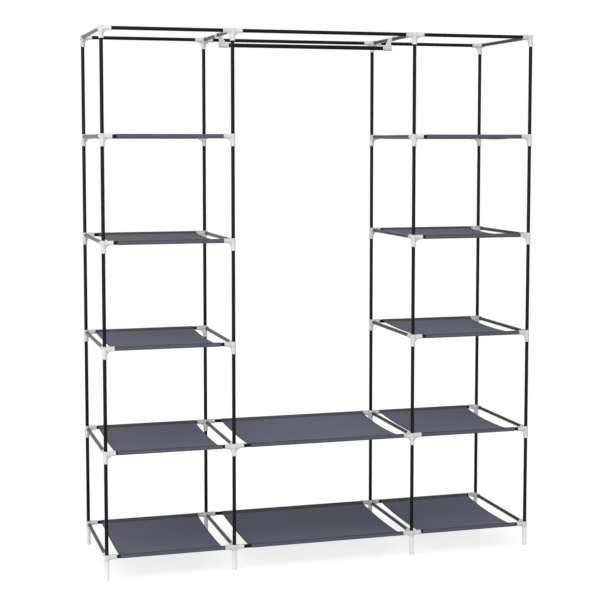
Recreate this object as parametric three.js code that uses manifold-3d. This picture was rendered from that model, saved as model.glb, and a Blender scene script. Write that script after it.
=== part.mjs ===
// Three-bay wardrobe frame: steel tubes in moulded connectors, fabric shelves slid on the tubes, and a
// hanging rod. Millimetres. X runs along the width, Y to the back and Z up. The origin is on the floor under
// the middle of the frame.
import * as THREE from "three";
import { mergeVertices } from "three/addons/utils/BufferGeometryUtils.js";
import Module from "manifold-3d";

// Layout, from post centre to post centre
const SIDE_BAY = 420;
const MIDDLE_BAY = 620;
const FRAME_DEPTH = 430;
const STOREY = 336;
const LEVELS = 6;
const FIRST_LEVEL = 76;
const MIDDLE_BAY_LEVELS = [1, 2, 6];
const MIDDLE_SHELF_LEVELS = [1, 2];
const SIDE_SHELF_LEVELS = [1, 2, 3, 4, 5];

// Steel tube, measured across the flats of its eight-sided section. Corners keep to a 64th of a millimetre,
// so that bars of one size that cross share their corners.
const SIDES = 8;
const GRID = 64;
const FLATNESS = 0.005;
const TUBE_DIAMETER = 12;
const TUBE_WALL = 0.5;
const FIT = 0.3;
const OVERSHOOT = 1;

// Moulded connector: sockets that reach out level, a sleeve that hangs down over the post, and thin webs
// between them
const CONNECTOR_DIAMETER = 16;
const SOCKET_REACH = 31.5;
const SOCKET_FLOOR = 9;
const SLEEVE_DROP = 32;
const WEB_THICKNESS = 2.5;
const WEB_ROOT = 4;
const WEB_TOP = 5;
const WEB_REACH = 26;
const WEB_MEETS = 7.3;
const WEB_STEPS = 2;

// The lowest connector is short underneath and takes the spigot of a foot
const FOOT_SOCKET_DROP = 12;
const FOOT_SOCKET_DEPTH = 16;
const FOOT_DIAMETER = 15;
const FOOT_SOLE = 10.4;
const FOOT_EDGE = 2;

// Fabric shelf: a deck between two casings, each sewn round a tube
const FABRIC = 0.7;
const CASING_PLAY = 0.35;
const CASING_SEAM = 17;
const DECK_SAG = 8;
const DECK_STEPS = 6;
const SIDE_SHELF_WIDTH = 343;
const MIDDLE_SHELF_WIDTH = 531;
const STOP_GAP = 0.5;

// Where each shelf has been slid to, from 0 against its left connectors to 1 against its right ones
const LEFT_SHELF_PLACES = [1, 0.5, 0, 1, 1];
const RIGHT_SHELF_PLACES = [0.5, 0, 1, 0.75, 1];
const MIDDLE_SHELF_PLACES = [1, 1];

// Hanging rod and the two hooks that carry it on the top depth tubes
const ROD_DIAMETER = 14;
const ROD_WALL = 0.5;
const ROD_DROP = 32;
const BOSS_DIAMETER = 17.6;
const BOSS_START = 4;
const BOSS_END = 37;
const BOSS_FLOOR = 3;
const CLIP_WALL = 2;
const CLIP_LENGTH = 26;
const CLIP_LIP = 11;
const CLIP_MOUTH = 5.5;
const ARM_THICKNESS = 5;
const ARM_START = 5;
const ARM_HEAD = 13;
const ARM_HEIGHT = 6;
const ARM_FOOT = 31;

// Finishes
const ENAMEL = { color: 0x0d0d0e, roughness: 0.28, metalness: 0.3 };
const WHITE_PLASTIC = { color: 0xe6e6e2, roughness: 0.45, metalness: 0 };
const GREY_FABRIC = { color: 0x5a5c69, roughness: 0.92, metalness: 0 };

const FRONT = -FRAME_DEPTH / 2;
const BACK = FRAME_DEPTH / 2;
const OUTER_POST = MIDDLE_BAY / 2 + SIDE_BAY;
const INNER_POST = MIDDLE_BAY / 2;
const TUBE_END = SOCKET_FLOOR + FIT;
const ALL_LEVELS = Array.from({ length: LEVELS }, (_, index) => index + 1);

const wasm = await Module();
wasm.setup();

const levelHeight = (level) => FIRST_LEVEL + (level - 1) * STOREY;
const point = (x, y, z) => new THREE.Vector3(x, y, z);
const onGrid = (value) => Math.round(value * GRID) / GRID;

// Corner radius of an octagon with the given distance across its flats
const cornerRadius = (acrossFlats) => acrossFlats / 2 / Math.cos(Math.PI / SIDES);

// Corner of an octagon that lies flat side up
function octagonCorner(acrossFlats, index) {
  const angle = (index + 0.5) * ((2 * Math.PI) / SIDES);
  const radius = cornerRadius(acrossFlats);
  return new THREE.Vector2(onGrid(radius * Math.cos(angle)), onGrid(radius * Math.sin(angle)));
}

const octagonCorners = (acrossFlats, indices) => indices.map((index) => octagonCorner(acrossFlats, index));
const ALL_CORNERS = [0, 1, 2, 3, 4, 5, 6, 7];
const CORNERS_AWAY_FROM_DECK = [1, 2, 3, 4, 5, 6];

// Turns a shape extruded upwards so that it runs along X, Y or Z
const TURNS = {
  x: new THREE.Matrix4().makeBasis(point(0, 1, 0), point(0, 0, 1), point(1, 0, 0)),
  y: new THREE.Matrix4().makeBasis(point(0, 0, 1), point(1, 0, 0), point(0, 1, 0)),
  z: new THREE.Matrix4(),
};

function mesh(name, geometry, finish) {
  const made = new THREE.Mesh(geometry, new THREE.MeshStandardMaterial(finish));
  made.name = name;
  return made;
}

// Solids for joining and cutting

function solidOf(geometry) {
  const bare = geometry.clone();
  bare.deleteAttribute("normal");
  bare.deleteAttribute("uv");
  const merged = mergeVertices(bare);
  return new wasm.Manifold(
    new wasm.Mesh({
      numProp: 3,
      vertProperties: new Float32Array(merged.attributes.position.array),
      triVerts: new Uint32Array(merged.index.array),
    }),
  );
}

// Geometry of a solid, with the flat faces that joining has split put back together
function geometryOf(solid) {
  const { vertProperties, triVerts } = solid.asOriginal().simplify(FLATNESS).getMesh();
  const geometry = new THREE.BufferGeometry();
  geometry.setAttribute("position", new THREE.BufferAttribute(new Float32Array(vertProperties), 3));
  geometry.setIndex(new THREE.BufferAttribute(new Uint32Array(triVerts), 1));
  geometry.computeVertexNormals();
  return geometry;
}

const joined = (solids) => solids.reduce((whole, piece) => whole.add(piece));
const cutFrom = (solid, cutters) => cutters.reduce((left, cutter) => left.subtract(cutter), solid);

// Eight-sided bar between two points on a line along X, Y or Z
function bar(acrossFlats, from, to) {
  const along = to.clone().sub(from);
  const axis = ["x", "y", "z"].find((name) => along[name] !== 0);
  const start = along[axis] > 0 ? from : to;
  const section = new THREE.Shape(octagonCorners(acrossFlats, ALL_CORNERS));
  const geometry = new THREE.ExtrudeGeometry(section, { depth: Math.abs(along[axis]), bevelEnabled: false });
  geometry.applyMatrix4(TURNS[axis]);
  geometry.translate(start.x, start.y, start.z);
  return solidOf(geometry);
}

// Flat plate of the given thickness, drawn as (outwards, up) from a centre and standing along a level direction
function standingPlate(corners, thickness, centre, outwards) {
  const outline = new THREE.Shape(corners.map(([out, up]) => new THREE.Vector2(out, up)));
  const geometry = new THREE.ExtrudeGeometry(outline, { depth: thickness, bevelEnabled: false });
  geometry.translate(0, 0, -thickness / 2);
  const up = point(0, 0, 1);
  geometry.applyMatrix4(new THREE.Matrix4().makeBasis(outwards, up, outwards.clone().cross(up)));
  geometry.translate(centre.x, centre.y, centre.z);
  return solidOf(geometry);
}

// Point at a distance from a centre along a level direction
const offset = (centre, outwards, distance) => centre.clone().addScaledVector(outwards, distance);

// Point above or below a centre
const raised = (centre, height) => centre.clone().setZ(centre.z + height);

// Connectors

// Outline of the web beside a short lowest sleeve, as (outwards, up): a wedge
const WEDGE = [
  [WEB_ROOT, -WEB_TOP],
  [WEB_ROOT, -FOOT_SOCKET_DROP],
  [WEB_REACH, -WEB_TOP],
];

// Outline of the web beside a long sleeve: its free edge is a quarter circle that runs out on sleeve and socket
function hollowWeb() {
  const radius = WEB_REACH - WEB_MEETS;
  const freeEdge = Array.from({ length: WEB_STEPS + 1 }, (_, step) => {
    const angle = (Math.PI / 2) * (step / WEB_STEPS);
    return [WEB_REACH - radius * Math.cos(angle), radius * Math.sin(angle) - WEB_REACH];
  });
  return [[WEB_ROOT, -WEB_TOP], [WEB_ROOT, -WEB_REACH], ...freeEdge, [WEB_REACH, -WEB_TOP]];
}

// Outside of one connector: the sleeve with a socket and its web in each of the given level directions
function connectorBody(centre, level, directions) {
  const sleeveDrop = level === 1 ? FOOT_SOCKET_DROP : SLEEVE_DROP;
  const web = level === 1 ? WEDGE : hollowWeb();
  const pieces = [bar(CONNECTOR_DIAMETER, raised(centre, -sleeveDrop), raised(centre, CONNECTOR_DIAMETER / 2))];
  for (const outwards of directions) {
    pieces.push(bar(CONNECTOR_DIAMETER, centre, offset(centre, outwards, SOCKET_REACH)));
    pieces.push(standingPlate(web, WEB_THICKNESS, centre, outwards));
  }
  return joined(pieces);
}

// Hole of an open socket, which takes the end of a loose tube
function socketBore(centre, outwards) {
  const floor = offset(centre, outwards, SOCKET_FLOOR);
  const mouth = offset(centre, outwards, SOCKET_REACH + OVERSHOOT);
  return bar(TUBE_DIAMETER + 2 * FIT, floor, mouth);
}

// Side frames

// Level directions in which a frame's connectors reach to its left and right at one level
function sidewaysAt(level, reachesLeft, reachesRight) {
  const directions = [];
  if (reachesLeft.includes(level)) {
    directions.push(point(-1, 0, 0));
  }
  if (reachesRight.includes(level)) {
    directions.push(point(1, 0, 0));
  }
  return directions;
}

// Upright ladder: two posts, the depth tubes between them, and the connectors that hold them together. The
// tubes are hollow all the way round, and their hollow opens through the two foot sockets.
function sideFrame(name, x, reachesLeft, reachesRight, looseTopTube) {
  const hollow = TUBE_DIAMETER - 2 * TUBE_WALL;
  const top = levelHeight(LEVELS);
  const footSocketTop = levelHeight(1) - FOOT_SOCKET_DROP + FOOT_SOCKET_DEPTH;
  const solids = [];
  const cutters = [];
  for (const y of [FRONT, BACK]) {
    const inwards = point(0, -Math.sign(y), 0);
    solids.push(bar(TUBE_DIAMETER, point(x, y, levelHeight(1)), point(x, y, top)));
    cutters.push(bar(hollow, point(x, y, 0), point(x, y, top)));
    cutters.push(bar(TUBE_DIAMETER + 2 * FIT, point(x, y, 0), point(x, y, footSocketTop)));
    for (const level of ALL_LEVELS) {
      const centre = point(x, y, levelHeight(level));
      const sideways = sidewaysAt(level, reachesLeft, reachesRight);
      const open = looseTopTube && level === LEVELS ? [inwards, ...sideways] : sideways;
      solids.push(connectorBody(centre, level, [inwards, ...sideways]));
      cutters.push(...open.map((outwards) => socketBore(centre, outwards)));
    }
  }
  for (const level of looseTopTube ? ALL_LEVELS.slice(0, -1) : ALL_LEVELS) {
    const z = levelHeight(level);
    solids.push(bar(TUBE_DIAMETER, point(x, FRONT, z), point(x, BACK, z)));
    cutters.push(bar(hollow, point(x, FRONT, z), point(x, BACK, z)));
  }
  return mesh(name, geometryOf(cutFrom(joined(solids), cutters)), ENAMEL);
}

// Loose tubes

// Open-ended round tube along X, centred on its own origin
function tubeGeometry(length, diameter, wall) {
  const outer = cornerRadius(diameter);
  const inner = cornerRadius(diameter - 2 * wall);
  const half = length / 2;
  const section = [
    new THREE.Vector2(inner, -half),
    new THREE.Vector2(outer, -half),
    new THREE.Vector2(outer, half),
    new THREE.Vector2(inner, half),
    new THREE.Vector2(inner, -half),
  ];
  const geometry = new THREE.LatheGeometry(section, SIDES, Math.PI / SIDES);
  geometry.rotateZ(-Math.PI / 2);
  return geometry;
}

// Tube whose ends stand in the sockets of two posts a bay apart
function bayTube(name, middleX, y, level, bay) {
  const tube = mesh(name, tubeGeometry(bay - 2 * TUBE_END, TUBE_DIAMETER, TUBE_WALL), ENAMEL);
  tube.position.set(middleX, y, levelHeight(level));
  return tube;
}

function topDepthTube(name, x) {
  const tube = mesh(name, tubeGeometry(FRAME_DEPTH - 2 * TUBE_END, TUBE_DIAMETER, TUBE_WALL), ENAMEL);
  tube.rotation.z = Math.PI / 2;
  tube.position.set(x, 0, levelHeight(LEVELS));
  return tube;
}

// Feet

// Peg with a rounded sole, a shoulder under the connector and a spigot inside it
function footGeometry() {
  const shoulder = levelHeight(1) - FOOT_SOCKET_DROP - FIT;
  const spigotTop = shoulder + FOOT_SOCKET_DEPTH - FIT;
  const profile = [
    [0, 0],
    [FOOT_SOLE, 0],
    [FOOT_DIAMETER, FOOT_EDGE],
    [FOOT_DIAMETER, shoulder],
    [TUBE_DIAMETER, shoulder],
    [TUBE_DIAMETER, spigotTop],
    [0, spigotTop],
  ].map(([acrossFlats, z]) => new THREE.Vector2(cornerRadius(acrossFlats), z));
  const geometry = new THREE.LatheGeometry(profile, SIDES, Math.PI / SIDES);
  geometry.rotateX(Math.PI / 2);
  return geometryOf(solidOf(geometry));
}

function foot(name, x, y) {
  const made = mesh(name, footGeometry(), WHITE_PLASTIC);
  made.position.set(x, y, 0);
  return made;
}

// Fabric shelves

// Height of the deck's middle surface at a share of its span from the front seam
const deckHeight = (share) => -4 * DECK_SAG * share * (1 - share);

// Outline of the front casing as (towards the back, up) from its tube's axis, from the seam over the tube and
// back under it
function casingOutline() {
  const outside = TUBE_DIAMETER + 2 * (CASING_PLAY + FABRIC);
  return [
    new THREE.Vector2(CASING_SEAM, FABRIC / 2),
    ...octagonCorners(outside, CORNERS_AWAY_FROM_DECK),
    new THREE.Vector2(CASING_SEAM, -FABRIC / 2),
  ];
}

// Teardrop hole in a casing, which the tube passes through
function casingHole() {
  const inside = TUBE_DIAMETER + 2 * CASING_PLAY;
  return [new THREE.Vector2(CASING_SEAM - 2 * FABRIC, 0), ...octagonCorners(inside, CORNERS_AWAY_FROM_DECK)];
}

// Section of a shelf in (Y, Z) about the level of its tubes: front casing, hanging deck and back casing
function shelfSection() {
  const atFront = (corner) => new THREE.Vector2(FRONT + corner.x, corner.y);
  const atBack = (corner) => new THREE.Vector2(BACK - corner.x, corner.y);
  const span = FRAME_DEPTH - 2 * CASING_SEAM;
  const shares = Array.from({ length: DECK_STEPS - 1 }, (_, index) => (index + 1) / DECK_STEPS);
  const deckCorner = (share, side) =>
    new THREE.Vector2(FRONT + CASING_SEAM + span * share, deckHeight(share) + side);
  const section = new THREE.Shape([
    ...casingOutline().map(atFront),
    ...shares.map((share) => deckCorner(share, -FABRIC / 2)),
    ...casingOutline().map(atBack).reverse(),
    ...shares.map((share) => deckCorner(share, FABRIC / 2)).reverse(),
  ]);
  section.holes.push(new THREE.Path(casingHole().map(atFront)), new THREE.Path(casingHole().map(atBack)));
  return section;
}

// Shelf slid along its two tubes: place is 0 against the left connectors and 1 against the right ones
function shelf(name, middleX, level, bay, width, place) {
  const geometry = new THREE.ExtrudeGeometry(shelfSection(), { depth: width, bevelEnabled: false });
  geometry.translate(0, 0, -width / 2);
  geometry.applyMatrix4(TURNS.x);
  const travel = bay - 2 * SOCKET_REACH - 2 * STOP_GAP - width;
  const made = mesh(name, geometry, GREY_FABRIC);
  made.position.set(middleX + travel * (place - 0.5), 0, levelHeight(level));
  return made;
}

// Hanging rod

// Hook about the axis of its depth tube: a clip open underneath, an arm, and a boss with a blind hole for the
// rod
function hookSolid(towardsMiddle) {
  const origin = point(0, 0, 0);
  const seatDiameter = TUBE_DIAMETER + 2 * FIT;
  const clipDiameter = seatDiameter + 2 * CLIP_WALL;
  const clipEnd = point(0, CLIP_LENGTH / 2, 0);
  const pastEnd = point(0, CLIP_LENGTH / 2 + OVERSHOOT, 0);
  const rodAxis = point(0, 0, -ROD_DROP);
  const clip = bar(clipDiameter, clipEnd.clone().negate(), clipEnd);
  const boss = bar(
    BOSS_DIAMETER,
    offset(rodAxis, towardsMiddle, BOSS_START),
    offset(rodAxis, towardsMiddle, BOSS_END),
  );
  const armCorners = [
    [ARM_START, -ROD_DROP],
    [ARM_FOOT, -ROD_DROP],
    [ARM_HEAD, ARM_HEIGHT],
    [ARM_START, ARM_HEIGHT],
  ];
  const arm = standingPlate(armCorners, ARM_THICKNESS, origin, towardsMiddle);
  const seat = bar(seatDiameter, pastEnd.clone().negate(), pastEnd);
  const mouthCorners = [
    [0, 0],
    [-CLIP_LIP, -clipDiameter],
    [CLIP_MOUTH, -clipDiameter],
    [CLIP_MOUTH, 0],
  ];
  const mouth = standingPlate(mouthCorners, CLIP_LENGTH + 2 * OVERSHOOT, origin, towardsMiddle);
  const rodSeat = bar(
    ROD_DIAMETER + 2 * FIT,
    offset(rodAxis, towardsMiddle, BOSS_START + BOSS_FLOOR),
    offset(rodAxis, towardsMiddle, BOSS_END + OVERSHOOT),
  );
  return cutFrom(joined([clip, boss, arm]), [seat, mouth, rodSeat]);
}

// Hook on the top depth tube at the given x, midway from front to back
function rodHook(name, x) {
  const made = mesh(name, geometryOf(hookSolid(point(-Math.sign(x), 0, 0))), WHITE_PLASTIC);
  made.position.set(x, 0, levelHeight(LEVELS));
  return made;
}

function hangingRod() {
  const reach = INNER_POST - BOSS_START - BOSS_FLOOR - FIT;
  const rod = mesh("hanging_rod", tubeGeometry(2 * reach, ROD_DIAMETER, ROD_WALL), ENAMEL);
  rod.position.set(0, 0, levelHeight(LEVELS) - ROD_DROP);
  return rod;
}

// Assembly

function sideFrames() {
  const group = new THREE.Group();
  group.add(sideFrame("side_frame_1", -OUTER_POST, [], ALL_LEVELS, false));
  group.add(sideFrame("side_frame_2", -INNER_POST, ALL_LEVELS, MIDDLE_BAY_LEVELS, true));
  group.add(sideFrame("side_frame_3", INNER_POST, MIDDLE_BAY_LEVELS, ALL_LEVELS, true));
  group.add(sideFrame("side_frame_4", OUTER_POST, ALL_LEVELS, [], false));
  group.add(topDepthTube("top_depth_tube_left", -INNER_POST));
  group.add(topDepthTube("top_depth_tube_right", INNER_POST));
  return group;
}

// Tubes of one bay, front and back, at each of its levels
function bayTubes(bayName, middleX, bay, levels) {
  const group = new THREE.Group();
  for (const level of levels) {
    group.add(bayTube(`${bayName}_tube_front_${level}`, middleX, FRONT, level, bay));
    group.add(bayTube(`${bayName}_tube_back_${level}`, middleX, BACK, level, bay));
  }
  return group;
}

// Shelves of one bay, each slid to its own place
function bayShelves(bayName, middleX, bay, levels, width, places) {
  const group = new THREE.Group();
  levels.forEach((level, index) => {
    group.add(shelf(`${bayName}_shelf_${level}`, middleX, level, bay, width, places[index]));
  });
  return group;
}

function feet() {
  const group = new THREE.Group();
  [-OUTER_POST, -INNER_POST, INNER_POST, OUTER_POST].forEach((x, index) => {
    group.add(foot(`foot_front_${index + 1}`, x, FRONT));
    group.add(foot(`foot_back_${index + 1}`, x, BACK));
  });
  return group;
}

function hangingRail() {
  const group = new THREE.Group();
  group.add(hangingRod());
  group.add(rodHook("rod_hook_left", -INNER_POST));
  group.add(rodHook("rod_hook_right", INNER_POST));
  return group;
}

// Tower of shelves at one side, named left or right
function tower(side, middleX, places) {
  const group = new THREE.Group();
  group.add(bayTubes(side, middleX, SIDE_BAY, ALL_LEVELS));
  group.add(bayShelves(side, middleX, SIDE_BAY, SIDE_SHELF_LEVELS, SIDE_SHELF_WIDTH, places));
  return group;
}

// Middle bay: shelves at the bottom, and room to hang clothes above them
function hangingBay() {
  const group = new THREE.Group();
  group.add(bayTubes("middle", 0, MIDDLE_BAY, MIDDLE_BAY_LEVELS));
  group.add(bayShelves("middle", 0, MIDDLE_BAY, MIDDLE_SHELF_LEVELS, MIDDLE_SHELF_WIDTH, MIDDLE_SHELF_PLACES));
  group.add(hangingRail());
  return group;
}

const wardrobe = new THREE.Group();
wardrobe.add(sideFrames());
wardrobe.add(tower("left", -INNER_POST - SIDE_BAY / 2, LEFT_SHELF_PLACES));
wardrobe.add(tower("right", INNER_POST + SIDE_BAY / 2, RIGHT_SHELF_PLACES));
wardrobe.add(hangingBay());
wardrobe.add(feet());

export default wardrobe;
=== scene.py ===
"""Looks of a three-bay wardrobe frame: enamelled tubes, moulded connectors, sewn cloth shelves and a rod.

Lengths are in metres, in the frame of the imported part: X to the right, Y to the back, Z up from the floor.
"""

import logging
import math
from collections.abc import Iterator
from dataclasses import dataclass
from enum import Enum, StrEnum

import bmesh
import bpy
import numpy as np
from mathutils import Matrix, Vector


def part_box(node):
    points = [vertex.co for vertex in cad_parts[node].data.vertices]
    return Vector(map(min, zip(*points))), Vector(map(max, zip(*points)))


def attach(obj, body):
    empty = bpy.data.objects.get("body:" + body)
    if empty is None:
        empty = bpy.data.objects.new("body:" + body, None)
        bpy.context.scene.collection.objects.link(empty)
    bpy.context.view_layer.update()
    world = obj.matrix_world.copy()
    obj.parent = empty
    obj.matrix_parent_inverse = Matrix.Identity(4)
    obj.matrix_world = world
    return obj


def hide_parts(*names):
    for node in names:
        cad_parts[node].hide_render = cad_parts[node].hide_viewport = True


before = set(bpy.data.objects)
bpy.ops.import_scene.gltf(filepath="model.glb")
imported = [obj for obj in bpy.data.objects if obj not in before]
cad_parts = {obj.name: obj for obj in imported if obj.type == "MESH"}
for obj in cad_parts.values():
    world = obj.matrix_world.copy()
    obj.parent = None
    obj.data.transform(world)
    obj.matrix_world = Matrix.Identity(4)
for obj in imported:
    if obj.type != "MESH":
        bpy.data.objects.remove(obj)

Colour = tuple[float, float, float, float]
Point = tuple[float, float, float]
Span = tuple[float, float]
Outline = list[tuple[float, float]]
Inputs = dict[str | int, object]
Material = bpy.types.Material
Mesh = bpy.types.Mesh
Piece = bpy.types.Object
Socket = bpy.types.NodeSocket

log = logging.getLogger("wardrobe")

MM = 0.001
UP = np.array([0.0, 0.0, 1.0])
ACROSS = np.array([1.0, 0.0, 0.0])
ORIGIN = np.zeros(3)
WHITE: Colour = (1.0, 1.0, 1.0, 1.0)
FRAME_BODY = "frame"
RAIL_BODY = "hanging_rail"
# Name of the cloth's point attribute: darkening where a tube or second ply lies behind the cloth, and painted
# shade on the casings and seams
BACKING_AND_PAINTED_SHADE = "backing_and_shade_mark"
# Numbers of the posts from left to right, and of the levels from the floor up
POSTS = range(1, 5)
LEVELS = range(1, 7)
# Rise of a unit vector from which it counts as upright
UPRIGHT_RISE = 0.5
# Range that most values of a noise lie in
NOISE_RANGE = (0.3, 0.7)


# Layout


class Heading(Enum):
    """Level direction in which a socket points."""

    LEFT = (-1.0, 0.0, 0.0)
    RIGHT = (1.0, 0.0, 0.0)
    FRONT = (0.0, -1.0, 0.0)
    BACK = (0.0, 1.0, 0.0)


class Row(StrEnum):
    """Row of posts, as the names of nodes say it."""

    FRONT = "front"
    BACK = "back"


class Bay(StrEnum):
    """Bay between two posts, as the names of nodes say it."""

    LEFT = "left"
    MIDDLE = "middle"
    RIGHT = "right"


class Place(Enum):
    """Where a connector sits on its post."""

    BOTTOM = "bottom"
    MIDDLE = "middle"
    TOP = "top"


def node_middle(node: str) -> np.ndarray:
    """Middle of a CAD node's box."""
    return np.mean(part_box(node), axis=0)


@dataclass(frozen=True)
class Layout:
    """Places of the posts, rows and levels, read from the frame."""

    posts: tuple[float, ...]
    front: float
    back: float
    levels: tuple[float, ...]
    hanging_bay_levels: tuple[int, ...] = (1, 2, 6)

    @classmethod
    def from_frame(cls) -> "Layout":
        """Reads the places from the feet and the left bay's front tubes.

        Returns:
            The layout, with posts from left to right and levels from the floor up.
        """
        return cls(
            posts=tuple(node_middle(f"foot_front_{post}")[0] for post in POSTS),
            front=node_middle("foot_front_1")[1],
            back=node_middle("foot_back_1")[1],
            levels=tuple(node_middle(f"left_tube_front_{level}")[2] for level in LEVELS),
        )

    def corners(self) -> Iterator[tuple[int, Row, float, float]]:
        """Places of the eight posts.

        Yields:
            Number, row, X and Y of each post, from left to right.
        """
        for post, x in enumerate(self.posts, 1):
            for row, y in zip(Row, (self.front, self.back)):
                yield post, row, x, y

    def place(self, level: int) -> Place:
        """Kind of connector at a level.

        Args:
            level: Level, from 1 at the bottom.

        Returns:
            Where such a connector sits on its post.
        """
        if level == 1:
            return Place.BOTTOM
        return Place.TOP if level == len(self.levels) else Place.MIDDLE

    def headings(self, post: int, row: Row, level: int) -> tuple[Heading, ...]:
        """Directions of the sockets of one connector.

        Args:
            post: Number of the post, from 1 at the left to 4 at the right.
            row: Row that the post stands in.
            level: Level, from 1 at the bottom.

        Returns:
            The inward direction first, then those along the width.
        """
        found = [Heading.BACK if row is Row.FRONT else Heading.FRONT]
        joins_middle = level in self.hanging_bay_levels
        if post in (2, 4) or (post == 3 and joins_middle):
            found.append(Heading.LEFT)
        if post in (1, 3) or (post == 2 and joins_middle):
            found.append(Heading.RIGHT)
        return tuple(found)


# Shapes as arrays


@dataclass(frozen=True)
class Shape:
    """Vertices and faces of a closed surface, before it becomes a mesh."""

    points: np.ndarray
    faces: list[list[int]]

    def mesh(self, name: str) -> Mesh:
        """Mesh of the shape, smooth, with its faces turned outwards.

        Args:
            name: Name of the mesh.

        Returns:
            The mesh, owned by no object.
        """
        made = bpy.data.meshes.new(name)
        made.from_pydata(self.points.reshape(-1, 3).tolist(), [], self.faces)
        shade(made, turn=True)
        return made

    def piece(self, name: str) -> Piece:
        """Object of the shape, linked to the scene."""
        return linked(name, self.mesh(name))


def linked(name: str, data: bpy.types.ID) -> Piece:
    """New object at the origin.

    Args:
        name: Its name.
        data: The mesh, lamp or camera that it shows.

    Returns:
        The object, linked to the scene.
    """
    made = bpy.data.objects.new(name, data)
    bpy.context.scene.collection.objects.link(made)
    return made


def shade(mesh: Mesh, turn: bool = False, crease: float = 35.0) -> None:
    """Smooth shading, broken at edges sharper than an angle.

    Args:
        mesh: The mesh to shade.
        turn: Whether the faces of a closed mesh are turned outwards first.
        crease: Angle in degrees between faces from which their edge stays sharp.
    """
    work = bmesh.new()
    work.from_mesh(mesh)
    if turn:
        bmesh.ops.recalc_face_normals(work, faces=work.faces)
    limit = math.radians(crease)
    for face in work.faces:
        face.smooth = True
    for edge in work.edges:
        edge.smooth = len(edge.link_faces) == 2 and edge.calc_face_angle(0.0) < limit
    work.to_mesh(mesh)
    work.free()


def grid_faces(rows: int, columns: int, close_rows: bool, close_columns: bool) -> np.ndarray:
    """Quads of a grid whose vertex numbers run along each row in turn.

    Args:
        rows: Number of rows of vertices.
        columns: Vertices in a row.
        close_rows: Whether the last row joins the first.
        close_columns: Whether the last column joins the first.

    Returns:
        One row of four vertex numbers for each quad.
    """
    row = np.arange(rows if close_rows else rows - 1)[:, None]
    column = np.arange(columns if close_columns else columns - 1)[None, :]
    next_row = (row + 1) % rows
    next_column = (column + 1) % columns
    corners = (
        row * columns + column,
        row * columns + next_column,
        next_row * columns + next_column,
        next_row * columns + column,
    )
    return np.stack(np.broadcast_arrays(*corners), axis=-1).reshape(-1, 4)


def revolved(
    profile: Outline, start: np.ndarray, direction: np.ndarray, segments: int = 40, ring: bool = False
) -> Shape:
    """Surface of revolution: each profile point is carried round the line start + direction * along.

    The circle is cosine times one spoke plus sine times the spoke square to it. The first spoke points up,
    or across where the axis itself is upright.

    Args:
        profile: Points as (radius, distance along the axis), none on the axis.
        start: Point of the axis at distance zero.
        direction: Unit vector of the axis.
        segments: Steps round the axis.
        ring: Whether the profile closes on itself. Otherwise flat discs close its two ends.

    Returns:
        The closed shape.
    """
    radius, along = np.array(profile).T
    angle = np.linspace(0, 2 * math.pi, segments, endpoint=False)
    first = UP if abs(direction[2]) < UPRIGHT_RISE else ACROSS
    spoke = np.cos(angle)[:, None] * first + np.sin(angle)[:, None] * np.cross(direction, first)
    points = start + along[:, None, None] * direction + radius[:, None, None] * spoke[None, :, :]
    rows = len(profile)
    faces = grid_faces(rows, segments, ring, True).tolist()
    if not ring:
        last = (rows - 1) * segments
        faces += [list(range(segments)), list(range(last, last + segments))]
    return Shape(points.reshape(-1, 3), faces)


def plate(outline: Outline, thickness: float, centre: np.ndarray, outwards: np.ndarray) -> Shape:
    """Flat plate: an outline is carried through a thickness, half to each side of its centre.

    Args:
        outline: Corners in order, as (outwards, up).
        thickness: Thickness of the plate.
        centre: Point that the outline is drawn from.
        outwards: Level unit vector of the outline's first axis.

    Returns:
        The closed shape.
    """
    out, up = np.array(outline).T
    side = np.cross(outwards, UP)
    flat = centre + out[:, None] * outwards + up[:, None] * UP
    points = np.stack([flat - side * thickness / 2, flat + side * thickness / 2])
    count = len(outline)
    faces = grid_faces(2, count, False, True).tolist()
    faces += [list(range(count)), list(range(count, 2 * count))]
    return Shape(points.reshape(-1, 3), faces)


def cylinder(
    radius: float, start: float, end: float, direction: np.ndarray, centre: np.ndarray = ORIGIN
) -> Shape:
    """Plain round body between two distances along a direction."""
    return revolved([(radius, start), (radius, end)], centre, direction)


def beads(
    starts: np.ndarray,
    ends: np.ndarray,
    radius: float,
    sides: int = 6,
    taper: float = 0.14,
    tip: float = 0.35,
) -> Shape:
    """Many short rods at once: four rings of points are carried from each start to its end.

    Args:
        starts: One start point a row.
        ends: The matching end points.
        radius: Radius of the middle rings.
        sides: Points in a ring.
        taper: Share of the length from an end ring to the next one.
        tip: Radius of the end rings, as a share of the middle ones'.

    Returns:
        One shape that holds every rod.
    """
    along = ends - starts
    length = np.linalg.norm(along, axis=1, keepdims=True)
    along = along / length
    side = np.cross(along, UP)
    side /= np.linalg.norm(side, axis=1, keepdims=True)
    up = np.cross(side, along)
    angle = np.linspace(0, 2 * math.pi, sides, endpoint=False)
    spoke = np.cos(angle)[None, :, None] * side[:, None, :] + np.sin(angle)[None, :, None] * up[:, None, :]
    share = np.array([0.0, taper, 1.0 - taper, 1.0])
    size = np.array([tip, 1.0, 1.0, tip]) * radius
    spine = starts[:, None, :] + (share[None, :, None] * length[:, None, :]) * along[:, None, :]
    points = spine[:, :, None, :] + size[None, :, None, None] * spoke[:, None, :, :]
    rings = len(share)
    first = np.arange(len(starts))[:, None, None] * rings * sides
    faces = (first + grid_faces(rings, sides, False, True)[None]).reshape(-1, 4).tolist()
    caps = np.stack([np.arange(sides), (rings - 1) * sides + np.arange(sides)])
    faces += (first + caps[None]).reshape(-1, sides).tolist()
    return Shape(points.reshape(-1, 3), faces)


def arc(centre: Span, radius: float, start: float, end: float, steps: int) -> Outline:
    """Points of an arc, from one angle in degrees to another, both ends included."""
    angle = np.radians(np.linspace(start, end, steps + 1))
    return [(centre[0] + radius * float(np.cos(a)), centre[1] + radius * float(np.sin(a))) for a in angle]


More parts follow.
